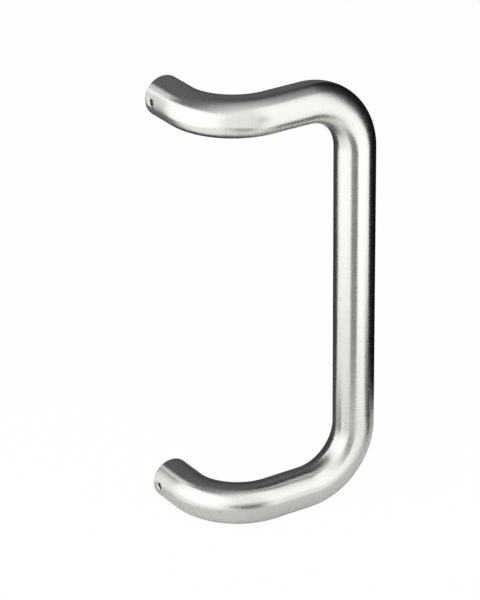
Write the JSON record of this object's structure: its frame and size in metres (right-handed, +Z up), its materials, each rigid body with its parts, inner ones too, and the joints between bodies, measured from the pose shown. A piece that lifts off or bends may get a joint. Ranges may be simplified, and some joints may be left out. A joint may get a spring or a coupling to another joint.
{
  "type": "offset pull handle",
  "caption": "Bent round tube pull handle whose upright grip stands off to one side of its two fixing ends, held on the door by set screws.",
  "frame": {"origin": "on the door face, midway between the two fixing ends", "axes": "+Z up along the grip, +X from the fixing ends towards the grip, +Y into the door"},
  "size_m": [0.145, 0.0815, 0.33],
  "materials": {
    "satin_tube": "satin, ground round the tube",
    "turned_steel": "turned",
    "screw_steel": "plain"
  },
  "bodies": {
    "root": {"handle_tube": "satin_tube", "upper_bush": "turned_steel", "lower_bush": "turned_steel", "upper_set_screw": "screw_steel", "lower_set_screw": "screw_steel"}
  },
  "joints": []
}
